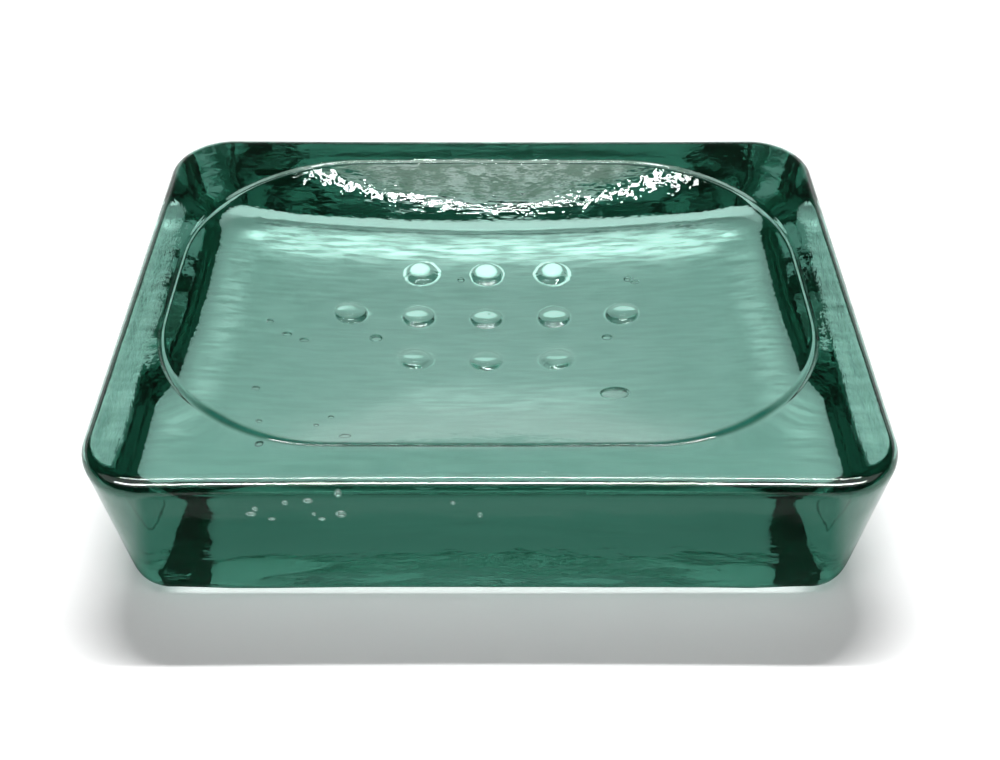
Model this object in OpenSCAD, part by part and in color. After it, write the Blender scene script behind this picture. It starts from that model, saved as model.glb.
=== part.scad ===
// Cast glass soap dish: one thick block with drafted sides and rounded corners,
// a shallow bowl pressed into its top, and raised nubs that keep the soap off the bowl.
// Millimetres, +Z up, origin at the centre of the flat base. The front is -Y.

/* [Body] */
// Overall length
body_l = 140; // [115:1:165]
// Overall width, front to back
body_w = 108; // [94:1:130]
// Overall height
body_h = 34.7; // [26:0.1:45]
// Lean of the four sides in degrees, narrower towards the base
draft = 9.2; // [3:0.2:12]
// Radius of the upright corners, seen from above
corner_r = 12.5; // [12:0.5:20]
// Rounding of the top edge
rim_r = 2; // [1:0.1:3]
// Rounding of the bottom edge
foot_r = 3.5; // [2:0.1:4]

/* [Bowl] */
// Flat land left between the bowl and each end of the block
end_land = 8.2; // [5:0.2:14]
// Flat land left between the bowl and the front and back of the block
side_land = 9.5; // [6:0.5:15]
// Radius of the bowl's corners, seen from above
bowl_r = 34; // [22:0.5:36]
// Depth of the bowl at its centre
bowl_depth = 8.4; // [6:0.1:12]
// Shape of the bowl's section: 2 is a parabola, more has a flatter floor and steeper sides
bowl_power = 2.3; // [2:0.1:4]
// Width of the rounded lip between the bowl and the land
lip_w = 0.8; // [0.4:0.1:2]

/* [Nubs] */
// Distance between neighbouring nubs
nub_pitch = 13.4; // [10:0.2:15]
// Radius of a nub where it rises from the bowl
nub_r = 3.2; // [2.5:0.1:4]
// Height of a nub
nub_h = 0.9; // [0.5:0.1:2]
// Nubs in the middle row
nubs_middle_row = 5; // [3:2:5]
// Nubs in each of the two other rows
nubs_outer_row = 3; // [1:2:3]

/* [Hidden] */
$fn = 96;
glass_colour = [0.42, 0.70, 0.61, 0.8];

// The bowl's half sizes, and its half width once the lip is taken off
bowl_half_l = body_l / 2 - end_land;
bowl_half_w = body_w / 2 - side_land;
// Steps of the bowl's surface: round each corner, from the centre to the lip, and across the lip
corner_steps = 14;
floor_steps = 14;
lip_steps = 4;
// The lip starts here, as a share of the way from the bowl's centre to its edge
lip_start = 1 - lip_w / bowl_half_w;
// Slope of the bowl where the lip starts, and the share of it that is left where the lip meets the land
side_slope = bowl_depth * bowl_power * pow(lip_start, bowl_power - 1);
edge_share = 0.2;
edge_slope = side_slope * edge_share;
// The bowl is sunk by what the lip takes off its slope
lip_rise = (side_slope + edge_slope) / 2 * (1 - lip_start);
floor_z = body_h - bowl_depth;
side_rise = bowl_depth - lip_rise;
// How far the bowl's cutting body is carried past the land, as a share of the bowl
past_land = 0.05;
// Rings of the bowl up to this share are ellipses. Past it they take on the edge's outline.
ellipse_share = 0.2;

// Slice of a disc between two directions
module pie(r, from, to) {
    intersection() {
        circle(r);
        polygon([[0, 0], 2 * r * [cos(from), sin(from)], 2 * r * [cos(to), sin(to)]]);
    }
}

// Upright section of the block's border, from the middle of a corner's turn out to the side.
// A slice of a disc rounds each edge, seated tangent to the leaning side and to the flat face.
module border_section() {
    outward = [cos(draft), -sin(draft)];
    rim = [corner_r - rim_r, body_h - rim_r];
    foot = [rim.x - ((rim.y - foot_r) * sin(draft) + foot_r - rim_r) / cos(draft), foot_r];
    polygon([
        [0, 0],
        [foot.x, 0],
        foot,
        foot + foot_r * outward,
        rim + rim_r * outward,
        rim,
        [rim.x, body_h],
        [0, body_h]
    ]);
    translate(rim) pie(rim_r, -draft, 90);
    translate(foot) pie(foot_r, -90, -draft);
}

// One straight stretch of the border, which faces +X
module border_side(length) {
    rotate([90, 0, 0]) linear_extrude(height = length, center = true) border_section();
}

// The solid block: a core, the border along its four sides and its turn at the four corners
module block() {
    core_x = body_l / 2 - corner_r;
    core_y = body_w / 2 - corner_r;
    translate([-core_x, -core_y, 0]) cube([2 * core_x, 2 * core_y, body_h]);
    for (turn = [0, 180])
        rotate([0, 0, turn]) {
            translate([core_x, 0, 0]) border_side(2 * core_y);
            translate([0, core_y, 0]) rotate([0, 0, 90]) border_side(2 * core_x);
            translate([core_x, core_y, 0]) rotate_extrude(angle = 90) border_section();
            translate([-core_x, core_y, 0]) rotate([0, 0, 90]) rotate_extrude(angle = 90) border_section();
        }
}

// Outline of the bowl's edge: the points round a rectangle with round corners
function bowl_outline() = [
    for (corner = [0:3], step = [0:corner_steps])
        let (
            side = [[1, 1], [-1, 1], [-1, -1], [1, -1]][corner],
            angle = 90 * (corner + step / corner_steps)
        )
        [
            side.x * (bowl_half_l - bowl_r) + bowl_r * cos(angle),
            side.y * (bowl_half_w - bowl_r) + bowl_r * sin(angle)
        ]
];

// Ring of the bowl, where share is 0 at its centre and 1 at its edge
function bowl_ring(share) =
    let (blend = pow(max(0, share - ellipse_share) / (1 - ellipse_share), 2))
    [
        for (p = bowl_outline())
            let (turn = atan2(p.y / bowl_half_w, p.x / bowl_half_l))
                share * (blend * p + (1 - blend) * [bowl_half_l * cos(turn), bowl_half_w * sin(turn)])
    ];

// Height of the bowl at a share of the way from its centre to its edge. The lip bends
// the side's slope down to the edge's slope at an even rate.
function bowl_z(share) =
    share < lip_start
        ? floor_z + side_rise * pow(share / lip_start, bowl_power)
        : let (way = (share - lip_start) / (1 - lip_start))
            body_h - lip_rise + (1 - lip_start) * (side_slope * way - (side_slope - edge_slope) * pow(way, 2) / 2);

// The space that the bowl takes out of the block, lofted from its centre out past its lip
module bowl_space() {
    outline = bowl_outline();
    count = len(outline);
    shares = concat(
        [for (i = [1:floor_steps]) lip_start * i / floor_steps],
        [for (i = [1:lip_steps]) lip_start + (1 - lip_start) * i / lip_steps]
    );
    last = len(shares);
    points = concat(
        [[0, 0, floor_z]],
        [for (share = shares, p = bowl_ring(share)) [p.x, p.y, bowl_z(share)]],
        [
            for (p = outline)
                [(1 + past_land) * p.x, (1 + past_land) * p.y, body_h + past_land * edge_slope]
        ]
    );
    function at(ring, i) = 1 + ring * count + i % count;
    faces = concat(
        [for (i = [0:count - 1]) [0, at(0, i), at(0, i + 1)]],
        [
            for (ring = [0:last - 1], i = [0:count - 1], half = [0, 1])
                half == 0
                    ? [at(ring, i), at(ring + 1, i), at(ring + 1, i + 1)]
                    : [at(ring, i), at(ring + 1, i + 1), at(ring, i + 1)]
        ],
        [[for (i = [count - 1:-1:0]) at(last, i)]]
    );
    polyhedron(points, faces, convexity = 4);
}

// Height of the bowl under a nub, where its rings are ellipses
function bowl_z_at(x, y) = bowl_z(norm([x / bowl_half_l, y / bowl_half_w]));

// Nubs in three rows, the middle row the longest. Each is the cap of a ball, sunk in the bowl.
module nubs() {
    ball_r = (pow(nub_r, 2) + pow(nub_h, 2)) / (2 * nub_h);
    for (row = [-1:1]) {
        reach = ((row == 0 ? nubs_middle_row : nubs_outer_row) - 1) / 2;
        for (column = [-reach:reach])
            let (x = column * nub_pitch, y = row * nub_pitch)
                translate([x, y, bowl_z_at(x, y) + nub_h - ball_r]) sphere(ball_r);
    }
}

module soap_dish() {
    color(glass_colour) {
        difference() {
            block();
            bowl_space();
        }
        nubs();
    }
}

soap_dish();
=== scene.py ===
"""Looks of a cast glass soap dish. Lengths are in millimetres until MM turns them into metres."""

import math

import bpy
import numpy as np
from mathutils import Matrix, Vector, noise
from mathutils.bvhtree import BVHTree


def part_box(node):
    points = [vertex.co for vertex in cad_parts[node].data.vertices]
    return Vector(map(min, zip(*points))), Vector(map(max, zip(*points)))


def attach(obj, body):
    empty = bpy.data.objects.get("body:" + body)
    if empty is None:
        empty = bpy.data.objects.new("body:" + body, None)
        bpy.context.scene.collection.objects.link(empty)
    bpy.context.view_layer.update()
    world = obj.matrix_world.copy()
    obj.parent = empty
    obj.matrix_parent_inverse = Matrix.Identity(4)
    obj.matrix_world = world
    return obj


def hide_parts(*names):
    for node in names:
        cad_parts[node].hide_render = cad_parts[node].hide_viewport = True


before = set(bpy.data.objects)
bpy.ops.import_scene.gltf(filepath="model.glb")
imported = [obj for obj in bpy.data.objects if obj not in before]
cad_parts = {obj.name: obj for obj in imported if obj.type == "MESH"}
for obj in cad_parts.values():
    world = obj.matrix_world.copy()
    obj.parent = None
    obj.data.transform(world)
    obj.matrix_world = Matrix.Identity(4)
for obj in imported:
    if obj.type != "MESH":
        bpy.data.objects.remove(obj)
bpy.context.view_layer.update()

MM = 0.001
NODE_LOW, NODE_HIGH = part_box("soap_dish")
LENGTH, WIDTH, HEIGHT = ((NODE_HIGH - NODE_LOW) / MM)[:]

# The block
DRAFT = math.radians(9.2)
CORNER_R = 12.5
RIM_R = 3.0
FOOT_R = 4.0
# As the mould left it, the back and the ends lean less than the front, and the foot is rounder at
# the ends. The rounder foot comes in over END_BLEND before each corner.
BACK_DRAFT = math.radians(8.0)
END_DRAFT = math.radians(7.3)
END_FOOT_R = 5.4
END_BLEND = 12.0
# How far the long sides are drawn in at their middle
SIDE_HOLLOW = 0.4

# The bowl
END_LAND = 8.2
SIDE_LAND = 9.5
BOWL_R = 34.0
BOWL_DEPTH = 8.4
BOWL_POWER = 2.3
LIP_W = 0.8
ELLIPSE_SHARE = 0.2
BOWL_SHIFT = (-0.4, -0.4)

# The nubs, in rows from front to back
NUB_PITCH = 13.4
NUB_R = 3.2
NUB_H = 1.15
NUB_SHIFT = -0.5
NUB_ROWS = (3, 5, 3)
NUB_POWER = 2.2

# The groove that the plunger's edge left along the lip: its middle inside the lip's edge, half
# width and depth
GROOVE_AT = 0.42
GROOVE_HALF = 0.3
GROOVE_DEEP = 0.42
# A dark line of painted shade, put into the glass's colour, runs along it: (its middle inside the
# lip's edge, half width, strength) elsewhere and at the front, where it starts to change, and is
# changed, this far in front of the dish's middle
LINE_SHOWS = ((0.45, 0.28, 0.3), (0.95, 0.55, 1.0))
LINE_FRONT = (26.0, 36.0)
LINE_SHADE_COLOUR = (0.01, 0.14, 0.10)

# Ripples of the skin, cut inwards: (length of the waves along X, Y and Z, depth, seed)
SKIN_WAVES = (((11.0, 9.0, 7.0), 0.10, 1), ((3.6, 3.6, 3.0), 0.045, 2))
BASE_WAVES = (((18.0, 7.0, 5.0), 0.08, 3), ((7.0, 3.0, 3.0), 0.03, 4))
BOWL_WAVES = (((14.0, 5.0, 5.0), 0.05, 5), ((10.0, 2.0, 3.0), 0.016, 6))
# Their noise: its fractal increment, lacunarity and octaves, and how far apart two seeds lie in it
WAVE_NOISE = (1.0, 2.0, 2)
SEED_STEP = 31.7
# Rings over which they fade in next to smooth skin
FADE_RINGS = 5
# How much of the fine ripple in the material each kind of skin shows, and the bowl at its sides
RIPPLE = {"base": 0.5, "foot": 1.0, "wall": 1.0, "rim": 0.5, "land": 0.06, "bowl": 0.2}
BOWL_SIDE_RIPPLE = 1.0
# Share of it on the front wall, which came smoother out of the mould. It falls to that between
# these shares of the way from the dish's middle to its front.
FRONT_RIPPLE = 0.25
FRONT_FADE = (0.6, 0.85)

# How finely the block's skin is divided: round a corner, along each side, and from pole to pole
CORNER_STEPS = 48
LONG_STEPS = 96
SHORT_STEPS = 60
BASE_RINGS = 26
FOOT_RINGS = 8
WALL_RINGS = 22
RIM_RINGS = 8
LAND_RINGS = 4
LIP_RINGS = 12
# Rings next to the lip, this far apart
NEAR_RINGS = 5
NEAR_STEP = 0.17
BOWL_RINGS = 30
# The middle of the bowl, with its nubs, has finer rings of half as many points
MIDDLE_SHARE = 0.5
MIDDLE_RINGS = 136


def rise(value, start, full):
    """0 up to where a value starts, and 1 from where it is full."""
    return np.clip((value - start) / (full - start), 0, 1)


def ring(half_x, half_y, corner):
    """Points round a rectangle with round corners, seen from above, anticlockwise."""
    points = []
    centres = np.array(((1, 1), (-1, 1), (-1, -1), (1, -1))) * (half_x - corner, half_y - corner)
    for quarter, steps in enumerate((LONG_STEPS, SHORT_STEPS, LONG_STEPS, SHORT_STEPS)):
        centre, after = centres[quarter], centres[(quarter + 1) % 4]
        angles = math.pi / 2 * (quarter + np.arange(CORNER_STEPS + 1) / CORNER_STEPS)
        turn = corner * np.column_stack((np.cos(angles), np.sin(angles)))
        points.append(centre + turn[:-1])
        way = (np.arange(steps) / steps)[:, None]
        points.append(centre + turn[-1] + (after - centre) * way)
    return np.vstack(points)


def at_height(outline, height):
    """The points of an outline, all at one height."""
    return np.column_stack((outline, np.full(len(outline), float(height))))


def border_profile(foot_r):
    """(inset from the overall outline, height) up the block's side, from the base to the land."""
    rim = np.array((RIM_R, HEIGHT - RIM_R))
    lean = (rim[1] - foot_r) * math.sin(DRAFT) + foot_r - RIM_R
    foot = np.array((rim[0] + lean / math.cos(DRAFT), foot_r))

    def arc(centre, radius, start, end, steps):
        turns = np.linspace(start, end, steps + 1)
        return list(centre + radius * np.column_stack((-np.cos(turns), np.sin(turns))))

    lower = arc(foot, foot_r, -math.pi / 2, -DRAFT, FOOT_RINGS)
    upper = arc(rim, RIM_R, -DRAFT, math.pi / 2, RIM_RINGS)
    ways = np.linspace(0, 1, WALL_RINGS + 1)[1:-1]
    return lower + [lower[-1] + (upper[0] - lower[-1]) * way for way in ways] + upper


def border_rings():
    """Rings of points up the block's side, whose foot is rounder at the ends."""
    half_x, half_y = LENGTH / 2, WIDTH / 2
    turn = half_x - CORNER_R
    blend = rise(np.abs(ring(half_x, half_y, CORNER_R)[:, 0]), turn - END_BLEND, turn)[:, None]
    blend = blend * blend * (3 - 2 * blend)
    rings = []
    for pair in zip(border_profile(FOOT_R), border_profile(END_FOOT_R)):
        side, end = [at_height(ring(half_x - inset, half_y - inset, CORNER_R - inset), height)
                     for inset, height in pair]
        rings.append(side * (1 - blend) + end * blend)
    return rings


def settle(outline):
    """Moves a ring of the base or the side to where the mould left it."""
    half_x, half_y = LENGTH / 2, WIDTH / 2
    lower = np.maximum(0.0, HEIGHT - RIM_R - outline[:, 2])
    back = np.clip(outline[:, 1] / half_y, 0, 1)
    outline[:, 1] += (math.tan(DRAFT) - math.tan(BACK_DRAFT)) * lower * back
    outline[:, 0] *= 1 + (math.tan(DRAFT) - math.tan(END_DRAFT)) * lower / half_x
    bend = np.clip(1 - (outline[:, 0] / (half_x - CORNER_R)) ** 2, 0, 1)
    outline[:, 1] -= SIDE_HOLLOW * bend * outline[:, 1] / half_y


def bowl_ring(edge, share):
    """Ring of the bowl, where share is 0 at its centre and 1 at its edge: an ellipse that takes on
    the edge's shape."""
    half = np.array((LENGTH / 2 - END_LAND, WIDTH / 2 - SIDE_LAND))
    ellipse = edge / np.linalg.norm(edge / half, axis=1)[:, None]
    blend = (max(0.0, share - ELLIPSE_SHARE) / (1 - ELLIPSE_SHARE)) ** 2
    return share * (blend * edge + (1 - blend) * ellipse)


def bowl_height(share):
    """Height of the bowl, where share is 0 at its centre and 1 at its edge."""
    half_w = WIDTH / 2 - SIDE_LAND
    lip_start = 1 - LIP_W / half_w
    side_slope = BOWL_DEPTH * BOWL_POWER * lip_start ** (BOWL_POWER - 1)
    lip_rise = side_slope / 2 * (1 - lip_start)
    groove = GROOVE_DEEP * math.exp(-(((1 - share) * half_w - GROOVE_AT) / GROOVE_HALF) ** 2)
    if share < lip_start:
        floor = HEIGHT - BOWL_DEPTH
        return floor + (BOWL_DEPTH - lip_rise) * (share / lip_start) ** BOWL_POWER - groove
    way = (share - lip_start) / (1 - lip_start)
    return HEIGHT - lip_rise * (1 - way) ** 2 - groove


def nub_places():
    """(middle of a nub in the bowl's own place, its row) for each nub."""
    middle_row = len(NUB_ROWS) // 2
    return [(((column - (count - 1) / 2) * NUB_PITCH + NUB_SHIFT, (row - middle_row) * NUB_PITCH),
             row)
            for row, count in enumerate(NUB_ROWS) for column in range(count)]


def nub_height(x, y):
    """How far the nubs raise the bowl at points in plan: a low dome whose edge is steep."""
    raised = np.zeros_like(x)
    for (centre_x, centre_y), _ in nub_places():
        reach = np.minimum(np.hypot(x - centre_x, y - centre_y) / NUB_R, 1)
        raised += NUB_H * np.sqrt(1 - reach ** NUB_POWER)
    return raised


def body_grid():
    """The block's skin as rings of points, from the middle of the base out, up and in to the
    bowl's centre, and the kind of skin of each ring."""
    sides = border_rings()
    rings, kinds = [], []
    for share in np.linspace(0, 1, BASE_RINGS + 1)[1:-1]:
        rings.append(at_height(sides[0][:, :2] * share, 0))
        kinds.append("base")
    for count, outline in enumerate(sides):
        rings.append(outline)
        kinds.append("foot" if count <= FOOT_RINGS
                     else "wall" if count < FOOT_RINGS + WALL_RINGS else "rim")
    for outline in rings:
        settle(outline)

    half_w = WIDTH / 2 - SIDE_LAND
    bowl = ring(LENGTH / 2 - END_LAND, half_w, BOWL_R)
    land = rings[-1][:, :2]
    for way in np.linspace(0, 1, LAND_RINGS + 1)[1:-1]:
        rings.append(at_height(land + (bowl + BOWL_SHIFT - land) * way, HEIGHT))
        kinds.append("land")
    lip_start = 1 - LIP_W / half_w
    near = lip_start - NEAR_STEP * np.arange(1, NEAR_RINGS + 1) / half_w
    shares = np.concatenate((np.linspace(1, lip_start, LIP_RINGS + 1), near,
                             np.linspace(near[-1], MIDDLE_SHARE, BOWL_RINGS + 1)[1:],
                             np.linspace(MIDDLE_SHARE, 0, MIDDLE_RINGS + 1)[1:-1]))
    for share in shares:
        outline = bowl_ring(bowl, share)
        rings.append(at_height(outline + BOWL_SHIFT, bowl_height(share)))
        rings[-1][:, 2] += nub_height(outline[:, 0], outline[:, 1])
        kinds.append("bowl")
    return ripple(np.array(rings), kinds), kinds


def waves(points, lengths, seed):
    """Smooth noise, about -1 to 1, whose waves are lengths long along X, Y and Z."""
    flat = (points / np.array(lengths)).reshape(-1, 3) + seed * SEED_STEP
    values = [noise.fractal(Vector(p), *WAVE_NOISE) for p in flat]
    return np.array(values).reshape(points.shape[:-1])


def ripple(grid, kinds):
    """The skin with its ripples, which are cut inwards, so that the block keeps its size."""
    around = np.roll(grid, -1, 1) - np.roll(grid, 1, 1)
    outward = np.cross(around, np.gradient(grid, axis=0))
    outward /= np.maximum(np.linalg.norm(outward, axis=2, keepdims=True), 1e-12)
    for rows, layers in ((slice(0, kinds.index("land")), SKIN_WAVES),
                         (slice(0, kinds.index("wall")), BASE_WAVES),
                         (slice(kinds.index("bowl"), len(grid)), BOWL_WAVES)):
        share = fade_in(kinds[rows])
        part = grid[rows]
        for lengths, depth, seed in layers:
            cut = (0.5 + 0.5 * np.clip(waves(part, lengths, seed), -1, 1)) * share[:, None]
            grid[rows] = grid[rows] - outward[rows] * depth * cut[:, :, None]
    return grid


def fade_in(kinds):
    """How much each ring of a stretch ripples: none at the ends where it meets smooth skin."""
    full = np.array([0.0 if kind == "rim" else 1.0 for kind in kinds])
    if kinds[0] == "bowl":
        full[:LIP_RINGS + 1] = 0.0
    else:
        full[-1] = 0.0
    kernel = np.ones(FADE_RINGS) / FADE_RINGS
    return np.convolve(np.pad(full, FADE_RINGS // 2, mode="edge"), kernel, "valid")


def skin_values(kind, inward, points):
    """How much a ring's points show the fine ripple and the dark line of painted shade along the
    groove, where inward counts the rings in from the bowl's edge."""
    ripples = np.full(len(points), RIPPLE[kind])
    if kind == "bowl":
        side = np.clip(inward / (LIP_RINGS + NEAR_RINGS + BOWL_RINGS), 0, 1)
        ripples += (BOWL_SIDE_RIPPLE - ripples) * (1 - side ** 2)
    if kind in ("foot", "wall", "rim"):
        front = rise(-points[:, 1] / (WIDTH / 2), *FRONT_FADE)
        ripples *= 1 - (1 - FRONT_RIPPLE) * front
    if not 0 <= inward <= LIP_RINGS + NEAR_RINGS:
        return ripples, np.zeros(len(points))
    inside = min(inward / LIP_RINGS, 1) * LIP_W + max(inward - LIP_RINGS, 0) * NEAR_STEP
    ahead = rise(-points[:, 1], *LINE_FRONT)
    at, half, shows = [low + (high - low) * ahead for low, high in zip(*LINE_SHOWS)]
    return ripples, shows * np.exp(-((inside - at) / half) ** 4)


def mesh_object(name, vertices, faces):
    """A smooth mesh from vertices in millimetres."""
    mesh = bpy.data.meshes.new(name)
    mesh.from_pydata([Vector(v) * MM for v in vertices], [], faces)
    mesh.shade_smooth()
    mesh.update()
    thing = bpy.data.objects.new(name, mesh)
    bpy.context.collection.objects.link(thing)
    return thing


def make_body():
    """The block of glass as one closed mesh."""
    grid, kinds = body_grid()
    middle = len(grid) - (MIDDLE_RINGS - 1)
    top = grid[-1].mean(axis=0)
    top[2] = bowl_height(0) + NUB_H
    vertices, starts = [tuple(grid[0].mean(axis=0))], []
    ripples, line_shades = [RIPPLE["base"]], [0.0]
    for row, points in enumerate(grid):
        kept = points if row < middle else points[::2]
        starts.append(len(vertices))
        vertices += [tuple(p) for p in kept]
        ring_ripples, ring_line_shades = skin_values(kinds[row], row - kinds.index("bowl"), kept)
        ripples += list(ring_ripples)
        line_shades += list(ring_line_shades)
    last = len(vertices)
    vertices.append(tuple(top))
    ripples.append(RIPPLE["bowl"])
    line_shades.append(0.0)

    faces = []
    count = grid.shape[1]
    for i in range(count):
        j = (i + 1) % count
        faces.append((0, 1 + j, 1 + i))
        for a, b in zip(starts[:middle - 1], starts[1:middle]):
            faces.append((a + i, a + j, b + j, b + i))
    half = count // 2
    for i in range(half):
        j = (i + 1) % half
        a, b = starts[middle - 1], starts[middle]
        near, between, far = a + 2 * i, a + 2 * i + 1, a + (2 * i + 2) % count
        faces += [(near, between, b + i), (between, b + j, b + i), (between, far, b + j)]
        for a, b in zip(starts[middle:-1], starts[middle + 1:]):
            faces.append((a + i, a + j, b + j, b + i))
        faces.append((starts[-1] + i, starts[-1] + j, last))
    thing = mesh_object("glass_block", vertices, faces)
    for name, values in (("ripple", ripples), ("line", line_shades)):
        attribute = thing.data.attributes.new(name, "FLOAT", "POINT")
        attribute.data.foreach_set("value", values)
    return thing


def math_of(tree, operation, *values):
    """Math node on one or two values, each a number or a socket."""
    node = tree.nodes.new("ShaderNodeMath")
    node.operation = operation
    for socket, value in zip(node.inputs, values):
        if isinstance(value, (int, float)):
            socket.default_value = value
        else:
            tree.links.new(value, socket)
    return node.outputs[0]


def sum_of(tree, first, *others):
    for other in others:
        first = math_of(tree, "ADD", first, other)
    return first


def product_of(tree, first, *others):
    for other in others:
        first = math_of(tree, "MULTIPLY", first, other)
    return first


def ramp_of(tree, value, low, high, start=0.0, end=1.0):
    """Smooth step from start to end while a value goes from low to high."""
    node = tree.nodes.new("ShaderNodeMapRange")
    node.interpolation_type = "SMOOTHSTEP"
    tree.links.new(value, node.inputs["Value"])
    for name, number in (("From Min", low), ("From Max", high), ("To Min", start), ("To Max", end)):
        node.inputs[name].default_value = number
    return node.outputs["Result"]


def band_of(tree, value, middle, half, soft):
    """1 where a value is within half of a middle, falling to 0 over a soft edge."""
    aside = math_of(tree, "ABSOLUTE", math_of(tree, "SUBTRACT", value, middle))
    return ramp_of(tree, aside, half - soft / 2, half + soft / 2, 1.0, 0.0)


def noise_of(tree, lengths, detail=1.0):
    """Noise from 0 to 1 whose waves are lengths long along X, Y and Z."""
    stretch = tree.nodes.new("ShaderNodeVectorMath")
    stretch.operation = "MULTIPLY"
    tree.links.new(tree.nodes.new("ShaderNodeTexCoord").outputs["Object"], stretch.inputs[0])
    stretch.inputs[1].default_value = [1 / (length * MM) for length in lengths]
    texture = tree.nodes.new("ShaderNodeTexNoise")
    texture.inputs["Scale"].default_value = 1.0
    texture.inputs["Detail"].default_value = detail
    tree.links.new(stretch.outputs["Vector"], texture.inputs["Vector"])
    return texture.outputs["Fac"]


def mix_of(tree, factor, first, colour):
    """A colour socket or number, mixed with a colour."""
    node = tree.nodes.new("ShaderNodeMix")
    node.data_type = "RGBA"
    tree.links.new(factor, node.inputs["Factor"])
    if isinstance(first, tuple):
        node.inputs["A"].default_value = first
    else:
        tree.links.new(first, node.inputs["A"])
    node.inputs["B"].default_value = (*colour, 1)
    return node.outputs["Result"]


def attribute_of(tree, name):
    node = tree.nodes.new("ShaderNodeAttribute")
    node.attribute_name = name
    return node.outputs["Fac"]


# The glass: what a metre of it takes out of red, green and blue light
ABSORB = (27.5, 14.9, 17.9)
ABSORB_DENSITY = 30.0
GLASS_IOR = 1.52
# Fine ripple of its surface: (length of the waves along X, Y and Z, depth)
FINE_WAVES = (((2.4, 1.6, 1.6), 0.035), ((1.5, 0.8, 0.8), 0.014))
WHITE = (1, 1, 1, 1)


def clear_material(name):
    """A material of clear glass, with its node tree and its shader."""
    material = bpy.data.materials.new(name)
    material.use_nodes = True
    shader = material.node_tree.nodes["Principled BSDF"]
    shader.inputs["Base Color"].default_value = WHITE
    shader.inputs["Roughness"].default_value = 0.0
    shader.inputs["IOR"].default_value = GLASS_IOR
    shader.inputs["Transmission Weight"].default_value = 1.0
    return material, material.node_tree, shader


def glass_material():
    material, tree, shader = clear_material("green_glass")
    # The dark line along the groove is painted shade, mixed into the glass's base colour
    line_shade = mix_of(tree, attribute_of(tree, "line"), WHITE, LINE_SHADE_COLOUR)
    tree.links.new(line_shade, shader.inputs["Base Color"])
    volume = tree.nodes.new("ShaderNodeVolumeAbsorption")
    volume.inputs["Color"].default_value = (*[1 - a / ABSORB_DENSITY for a in ABSORB], 1)
    volume.inputs["Density"].default_value = ABSORB_DENSITY
    tree.links.new(volume.outputs["Volume"], tree.nodes["Material Output"].inputs["Volume"])
    deepest = FINE_WAVES[0][1]
    height = sum_of(tree, *[product_of(tree, noise_of(tree, lengths), depth / deepest)
                            for lengths, depth in FINE_WAVES])
    bump = tree.nodes.new("ShaderNodeBump")
    bump.inputs["Distance"].default_value = deepest * MM
    shown = product_of(tree, height, attribute_of(tree, "ripple"))
    tree.links.new(shown, bump.inputs["Height"])
    tree.links.new(bump.outputs["Normal"], shader.inputs["Normal"])
    return material


# The camera, fitted to the photograph's outline of the block and of the bowl
CAMERA_AT = (1.03, -201.73, 191.06)
CAMERA_PITCH = math.radians(41.99)
CAMERA_YAW = math.radians(0.224)
CAMERA_ROLL = math.radians(0.155)
FOCAL_PX = 1309.6
PHOTO_W = 1000
PHOTO_H = 760
SENSOR_W = 36.0
CLIP_M = (0.01, 20)


def make_camera():
    camera = bpy.data.cameras.new("camera")
    camera.sensor_width = SENSOR_W
    camera.lens = FOCAL_PX * SENSOR_W / PHOTO_W
    camera.clip_start, camera.clip_end = CLIP_M
    thing = bpy.data.objects.new("camera", camera)
    bpy.context.collection.objects.link(thing)
    level, yaw = math.cos(CAMERA_PITCH), CAMERA_YAW
    ahead = Vector((math.sin(yaw) * level, math.cos(yaw) * level, -math.sin(CAMERA_PITCH)))
    side = ahead.cross(Vector((0, 0, 1))).normalized()
    up = side.cross(ahead)
    turned = side * math.cos(CAMERA_ROLL) + up * math.sin(CAMERA_ROLL)
    upright = up * math.cos(CAMERA_ROLL) - side * math.sin(CAMERA_ROLL)
    axes = Matrix((turned, upright, -ahead)).transposed()
    thing.matrix_world = Matrix.Translation(Vector(CAMERA_AT) * MM) @ axes.to_4x4()
    bpy.context.scene.camera = thing


# Air bubbles: (column and row of the picture where each shows, depth under the skin along the line
# of sight, its sizes along X, Y and Z)
BUBBLES = (
    (270, 321, 9, 1.5, 1.3, 0.8), (287, 334, 7, 2.0, 1.3, 0.9), (304, 340, 8, 1.9, 1.2, 0.8),
    (376, 338, 6, 2.6, 2.3, 1.3), (461, 280, 8, 1.6, 1.4, 1.0), (607, 337, 7, 2.2, 1.8, 1.1),
    (628, 279, 6, 1.9, 1.6, 1.0), (635, 282, 9, 2.0, 1.3, 0.9), (256, 388, 7, 1.6, 1.1, 0.8),
    (259, 421, 6, 1.2, 0.9, 0.7), (258, 446, 8, 1.5, 1.1, 0.8), (316, 425, 7, 1.0, 0.9, 0.7),
    (331, 417, 9, 1.2, 0.9, 0.7), (345, 436, 7, 2.2, 1.4, 1.0), (615, 393, 3, 5.7, 4.0, 1.7))
FRONT_BUBBLES = (
    (341, 514, 2.5, 2.0, 1.6, 1.9), (338, 494, 2.2, 1.3, 1.3, 1.0), (251, 514, 2.5, 1.9, 1.2, 1.2),
    (255, 509, 2.0, 1.1, 1.1, 1.3), (285, 503, 6, 1.2, 1.1, 1.1), (308, 501, 2.2, 1.8, 1.3, 1.2),
    (314, 514, 2.0, 0.8, 0.8, 1.0), (322, 519, 2.2, 1.4, 1.0, 0.8), (272, 519, 2.4, 1.4, 1.0, 0.8),
    (453, 503, 2.0, 1.0, 1.0, 0.8), (480, 515, 7, 1.1, 1.0, 1.6))
# Light that gathers in the bubbles of the bowl and of the front wall
BUBBLE_GLOW = 0.008
FRONT_BUBBLE_GLOW = 0.07
BUBBLE_GLOW_COLOUR = (0.85, 1.0, 0.95, 1)
BUBBLE_TURNS = 24
BUBBLE_RINGS = 12


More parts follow.
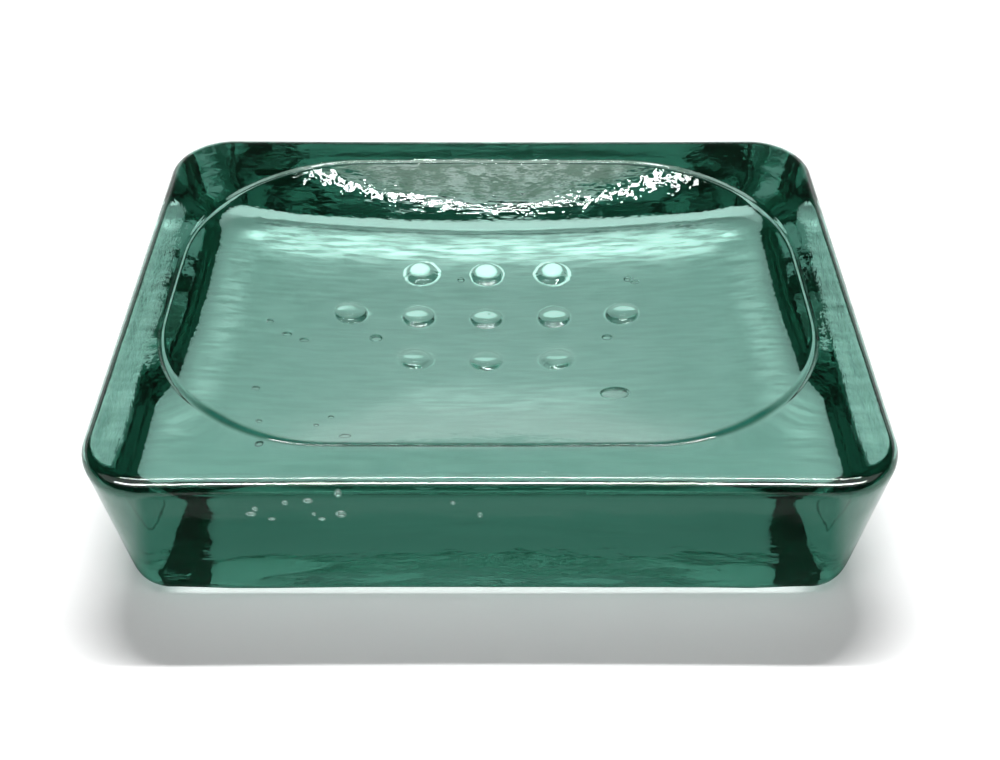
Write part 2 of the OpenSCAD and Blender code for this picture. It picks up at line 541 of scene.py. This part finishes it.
def refracted(way, normal, ratio):
    """A ray's way past a surface, where ratio is the index that it leaves over the one that it
    enters."""
    facing = -way.dot(normal)
    past = math.sqrt(1 - ratio ** 2 * (1 - facing ** 2))
    return way * ratio + normal * (ratio * facing - past)


def make_bubbles(block, name, places):
    """Ellipsoids of air. Their skin faces inwards, because the glass is outside it."""
    skin = BVHTree.FromPolygons([v.co for v in block.data.vertices],
                                [tuple(p.vertices) for p in block.data.polygons])
    camera = bpy.context.scene.camera.matrix_world
    vertices, faces = [], []
    for column, row, depth, *sizes in places:
        way = camera.to_3x3() @ Vector((column - PHOTO_W / 2, PHOTO_H / 2 - row, -FOCAL_PX))
        way.normalize()
        place, normal, _, _ = skin.ray_cast(camera.translation, way)
        centre = place / MM + refracted(way, normal, 1 / GLASS_IOR) * depth
        start = len(vertices)
        for ring_no in range(1, BUBBLE_RINGS):
            tilt = math.pi * ring_no / BUBBLE_RINGS
            for turn in range(BUBBLE_TURNS):
                round_z = 2 * math.pi * turn / BUBBLE_TURNS
                unit = (math.sin(tilt) * math.cos(round_z), math.sin(tilt) * math.sin(round_z),
                        math.cos(tilt))
                vertices.append(tuple(c + u * size / 2 for c, u, size in zip(centre, unit, sizes)))
        poles = len(vertices)
        radius = Vector((0, 0, sizes[2] / 2))
        vertices += [tuple(centre + radius), tuple(centre - radius)]
        for turn in range(BUBBLE_TURNS):
            nxt = (turn + 1) % BUBBLE_TURNS
            for ring_no in range(BUBBLE_RINGS - 2):
                a = start + ring_no * BUBBLE_TURNS
                b = a + BUBBLE_TURNS
                faces.append((a + turn, a + nxt, b + nxt, b + turn))
            faces.append((poles, start + nxt, start + turn))
            a = start + (BUBBLE_RINGS - 2) * BUBBLE_TURNS
            faces.append((poles + 1, a + turn, a + nxt))
    return mesh_object(name, vertices, faces)


def bubble_material(name, glow):
    material, _, shader = clear_material(name)
    shader.inputs["Emission Color"].default_value = BUBBLE_GLOW_COLOUR
    shader.inputs["Emission Strength"].default_value = glow
    return material


# The floor
FLOOR_GAP = 0.05
FLOOR_HALF = 1500.0
FLOOR_COLOUR = 0.8
# Its shade in reflections straight in front of the dish and behind it, up to this far to the sides
FLOOR_MIRRORED = 0.15
FLOOR_MIRRORED_HALF = 70.0
FLOOR_MIRRORED_SOFT = 10.0
FLOOR_GLOW = 0.12
# The camera sees the floor turn white between these distances
FAR_WHITE = (160.0, 700.0)
# Bright patches of light that the glass throws on the floor: (middle, half size, soft edge,
# brightness, only seen through the glass). The last one lies under the front edge.
PATCHES = (
    ((0, 42), (54, 4.5), (10, 6.0), 1.05, True),
    ((-57, 43), (2.0, 1.5), (7, 4.5), 1.6, True),
    ((57, 43), (2.0, 1.5), (7, 4.5), 1.6, True),
    ((0, 37), (52, 4), (14, 16), 0.28, True),
    ((0, 0), (66, 48), (6, 6), 0.12, True),
    ((-60, 6), (3, 34), (5, 14), 0.2, True),
    ((60, 6), (3, 34), (5, 14), 0.2, True),
    ((3, -15), (22, 5), (16, 8), 0.16, True),
    ((0, -47.4), (58, 0.8), (8, 0.5), 0.5, False))
# The light that each row of nubs gathers on the floor in soft ovals, from the front row to the
# back row: (distance behind the nub, half size, brightness). An oval falls off between these
# squares of the distance from its middle, where 1 is at its half size.
NUB_LIGHT = ((14.8, (2.6, 0.7), 0.6), (16.4, (2.8, 1.1), 0.8), (18.2, (3.0, 4.2), 1.5))
NUB_LIGHT_EDGE = (0.2, 1.3)
# Shade that the glass gives the floor behind it and along its back edge: (half size and soft edge
# along X, where it starts, is full, starts to fade and ends along Y, colour)
SHADES = (((66, 30), (50.5, 52.5, 68, 104), (0.05, 0.11, 0.07)),
          ((56, 6), (47.1, 47.5, 47.8, 48.2), (0.03, 0.1, 0.08)))
# Streaks in the patches and in the shade: length of the waves along X, Y and Z, and (from, to) of
# the noise and of the strength that it gives
PATCH_WAVES = (9.0, 1.3, 4.0)
PATCH_STREAKS = (0.3, 0.7, 0.3, 1.5)
SHADE_WAVES = (6.0, 1.6, 4.0)
SHADE_STREAKS = (0.38, 0.55, 0.6, 1.0)
STREAK_DETAIL = 3.0


def mirror_ray(tree, path):
    """1 for a ray that was mirrored. Clear glass marks the rays that it lets through as glossy
    too."""
    only = math_of(tree, "SUBTRACT", path["Is Glossy Ray"], path["Is Transmission Ray"])
    return math_of(tree, "MAXIMUM", only, 0)


def floor_colour(tree, across, back, path):
    before = band_of(tree, across, 0, FLOOR_MIRRORED_HALF * MM, FLOOR_MIRRORED_SOFT * MM)
    dimmed = product_of(tree, mirror_ray(tree, path), before, FLOOR_COLOUR - FLOOR_MIRRORED)
    colour = math_of(tree, "SUBTRACT", FLOOR_COLOUR, dimmed)
    for (half, soft), (start, full, fade, end), shade in SHADES:
        streaks = ramp_of(tree, noise_of(tree, SHADE_WAVES, STREAK_DETAIL), *SHADE_STREAKS)
        spot = product_of(tree, streaks, path["Is Transmission Ray"],
                          band_of(tree, across, 0, half * MM, soft * MM),
                          ramp_of(tree, back, start * MM, full * MM),
                          ramp_of(tree, back, fade * MM, end * MM, 1.0, 0.0))
        colour = mix_of(tree, spot, colour, shade)
    return colour


def floor_glow(tree, across, back, path):
    """The light that the glass gathers on the floor, and the floor's own paleness."""
    seen = math_of(tree, "MAXIMUM", path["Is Camera Ray"], path["Is Transmission Ray"])
    level = product_of(tree, seen, FLOOR_GLOW)
    for (centre_x, centre_y), row in nub_places():
        behind, half, bright = NUB_LIGHT[row]
        toward = Vector((centre_x - CAMERA_AT[0], centre_y - CAMERA_AT[1])).normalized() * behind
        squares = []
        for place, at, reach in ((across, centre_x + toward.x, half[0]),
                                 (back, centre_y + toward.y, half[1])):
            aside = math_of(tree, "DIVIDE", math_of(tree, "SUBTRACT", place, at * MM), reach * MM)
            squares.append(product_of(tree, aside, aside))
        spot = ramp_of(tree, sum_of(tree, *squares), *NUB_LIGHT_EDGE, bright, 0.0)
        level = sum_of(tree, level, product_of(tree, spot, path["Is Transmission Ray"]))

    away = sum_of(tree, product_of(tree, across, across), product_of(tree, back, back))
    far = ramp_of(tree, math_of(tree, "SQRT", away), FAR_WHITE[0] * MM, FAR_WHITE[1] * MM)
    level = sum_of(tree, level, product_of(tree, far, path["Is Camera Ray"]))

    streaks = ramp_of(tree, noise_of(tree, PATCH_WAVES, STREAK_DETAIL), *PATCH_STREAKS)
    for middle, half, soft, bright, inside in PATCHES:
        spot = product_of(tree, bright,
                          band_of(tree, across, middle[0] * MM, half[0] * MM, soft[0] * MM),
                          band_of(tree, back, middle[1] * MM, half[1] * MM, soft[1] * MM))
        if inside:
            spot = product_of(tree, spot, path["Is Transmission Ray"], streaks)
        else:
            spot = product_of(tree, spot, path["Is Camera Ray"])
        level = sum_of(tree, level, spot)
    return level


def make_floor():
    material = bpy.data.materials.new("floor")
    material.use_nodes = True
    tree = material.node_tree
    tree.nodes.remove(tree.nodes["Principled BSDF"])
    path = tree.nodes.new("ShaderNodeLightPath").outputs
    place = tree.nodes.new("ShaderNodeSeparateXYZ")
    tree.links.new(tree.nodes.new("ShaderNodeTexCoord").outputs["Object"], place.inputs[0])
    across, back, _ = place.outputs
    diffuse = tree.nodes.new("ShaderNodeBsdfDiffuse")
    tree.links.new(floor_colour(tree, across, back, path), diffuse.inputs["Color"])
    glow = tree.nodes.new("ShaderNodeEmission")
    tree.links.new(floor_glow(tree, across, back, path), glow.inputs["Strength"])
    both = tree.nodes.new("ShaderNodeAddShader")
    tree.links.new(diffuse.outputs[0], both.inputs[0])
    tree.links.new(glow.outputs[0], both.inputs[1])
    tree.links.new(both.outputs[0], tree.nodes["Material Output"].inputs["Surface"])
    corners = [(x * FLOOR_HALF, y * FLOOR_HALF, -FLOOR_GAP)
               for x, y in ((-1, -1), (1, -1), (1, 1), (-1, 1))]
    floor = mesh_object("floor", corners, [(0, 1, 2, 3)])
    floor.data.materials.append(material)


# Light from the room: on the open floor, in reflections, seen through the glass, and on the floor
# under the glass
ROOM_ON_FLOOR = 0.1
ROOM_REFLECTED = 0.03
ROOM_THROUGH_GLASS = 0.8
ROOM_UNDER_GLASS = 0.25
# Two long lamps stand above the dish, one behind it and one in front: (slope of their light, power
# on the open floor, level under the glass)
LAMPS = ((0.33, 4.9, 5.2), (-0.45, 0.8, 2.65))
# Their half widths as slopes, front to back and to the sides, and (from, to) of their soft edges
# as shares of those
LAMP_HALF = 0.12
LAMP_REACH = 1.0
LAMP_EDGE = (0.7, 1.3)
REACH_EDGE = (0.8, 1.2)
# What the glass mirrors of the room: (slope back from the vertical where it starts and ends, half
# its slope to the sides, level, soft edge)
MIRRORED = ((-0.1, 0.37, 0.3, 1.0, 0.04), (-1.5, -0.2, 3.0, 1.0, 0.04),
            (3.4, 30.0, 30.0, 1.0, 4.0))
# Slopes are taken as if a ray rose at least this much
LEAST_RISE = 0.03


def make_world():
    """A pale room whose lamps light the floor under the glass, which lamp objects don't reach."""
    world = bpy.data.worlds.new("room")
    bpy.context.scene.world = world
    world.use_nodes = True
    tree = world.node_tree
    path = tree.nodes.new("ShaderNodeLightPath").outputs
    way = tree.nodes.new("ShaderNodeSeparateXYZ")
    tree.links.new(tree.nodes.new("ShaderNodeTexCoord").outputs["Generated"], way.inputs[0])
    across, back, up = way.outputs
    height = math_of(tree, "MAXIMUM", up, LEAST_RISE)
    lean = math_of(tree, "DIVIDE", back, height)
    sideways = math_of(tree, "DIVIDE", across, height)

    reach = ramp_of(tree, math_of(tree, "ABSOLUTE", sideways),
                    LAMP_REACH * REACH_EDGE[0], LAMP_REACH * REACH_EDGE[1], 1.0, 0.0)
    under = ROOM_UNDER_GLASS
    for slope, _, lamp_level in LAMPS:
        aside = math_of(tree, "ABSOLUTE", math_of(tree, "SUBTRACT", lean, slope))
        lamp = ramp_of(tree, aside, LAMP_HALF * LAMP_EDGE[0], LAMP_HALF * LAMP_EDGE[1],
                       lamp_level, 0.0)
        under = sum_of(tree, under, product_of(tree, lamp, reach))
    from_floor = math_of(tree, "GREATER_THAN", path["Diffuse Depth"], 0.5)
    not_from_floor = math_of(tree, "SUBTRACT", 1.0, from_floor)
    through = sum_of(tree, product_of(tree, from_floor, under),
                     product_of(tree, not_from_floor, ROOM_THROUGH_GLASS))

    mirrored = ROOM_REFLECTED
    for start, end, half, lit, edge in MIRRORED:
        patch = band_of(tree, lean, (start + end) / 2, (end - start) / 2, edge)
        side = band_of(tree, sideways, 0, half, half / 2)
        mirrored = sum_of(tree, mirrored, product_of(tree, patch, side, lit))

    glassy = math_of(tree, "MAXIMUM", path["Is Transmission Ray"], path["Is Glossy Ray"])
    other = math_of(tree, "SUBTRACT", 1.0, glassy)
    level = sum_of(tree, product_of(tree, path["Is Transmission Ray"], through),
                   product_of(tree, mirror_ray(tree, path), mirrored),
                   product_of(tree, other, ROOM_ON_FLOOR), path["Is Camera Ray"])
    background = tree.nodes["Background"]
    background.inputs["Color"].default_value = WHITE
    tree.links.new(level, background.inputs["Strength"])


DISH_MIDDLE = (0, 0, 15)
# Lamps that show in reflections: (place, size along X, size front to back, where it points, full
# angle of its beam in degrees). The first three are narrow beams on the bowl's back wall.
GLINTS = (((-5, 190, 400), 62, 5, (0, 42, 30), 22), ((-36, 232, 400), 4, 56, (-15, 42, 30), 20),
          ((27, 240, 400), 4, 66, (15, 42, 30), 20),
          ((0, -77, 400), 600, 20, DISH_MIDDLE, 180), ((0, -188, 200), 600, 30, DISH_MIDDLE, 180))
GLINT_LEVEL = 36.0
GLINT_BEAM = 1.4
# Power of a square metre of lamp that shows at level 1
LAMP_POWER = 4
# Lamps that light the floor, at this height over the dish
KEY_HEIGHT = 600.0
KEY_SIZE = (280.0, 16.0)


def make_lamp(name, place, size_x, size_y, power, target=DISH_MIDDLE):
    lamp = bpy.data.lights.new(name, "AREA")
    lamp.shape = "RECTANGLE"
    lamp.size, lamp.size_y = size_x * MM, size_y * MM
    lamp.energy = power
    thing = bpy.data.objects.new(name, lamp)
    bpy.context.collection.objects.link(thing)
    thing.location = Vector(place) * MM
    way = Vector(target) - Vector(place)
    thing.rotation_euler = way.to_track_quat("-Z", "Y").to_euler()
    thing.visible_transmission = False
    return thing


def make_lamps():
    for count, (place, size_x, size_y, target, beam) in enumerate(GLINTS):
        power = LAMP_POWER * GLINT_LEVEL * size_x * size_y * MM ** 2
        half = math.radians(beam / 2)
        if beam < 180:
            power *= GLINT_BEAM * (1 - half / math.tan(half))
        thing = make_lamp(f"glint_{count}", place, size_x, size_y, power, target)
        thing.visible_diffuse = False
        thing.data.spread = 2 * half
    for count, (slope, power, _) in enumerate(LAMPS):
        near_edge = math.copysign(WIDTH / 2, -slope)
        place = (0, near_edge + slope * KEY_HEIGHT, HEIGHT + KEY_HEIGHT)
        make_lamp(f"key_{count}", place, *KEY_SIZE, power).visible_glossy = False


# Enough bounces for the light's many turns inside the block
BOUNCES = 24

scene = bpy.context.scene
scene.view_settings.view_transform = "Standard"
scene.cycles.max_bounces = BOUNCES
scene.cycles.glossy_bounces = BOUNCES
scene.cycles.transmission_bounces = BOUNCES
make_camera()
make_floor()
make_world()
make_lamps()

body = make_body()
body.data.materials.append(glass_material())
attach(body, "root")
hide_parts("soap_dish")

for name, places, glow in (("air_bubbles", BUBBLES, BUBBLE_GLOW),
                           ("front_bubbles", FRONT_BUBBLES, FRONT_BUBBLE_GLOW)):
    bubbles = make_bubbles(body, name, places)
    bubbles.data.materials.append(bubble_material(name, glow))
    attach(bubbles, "root")
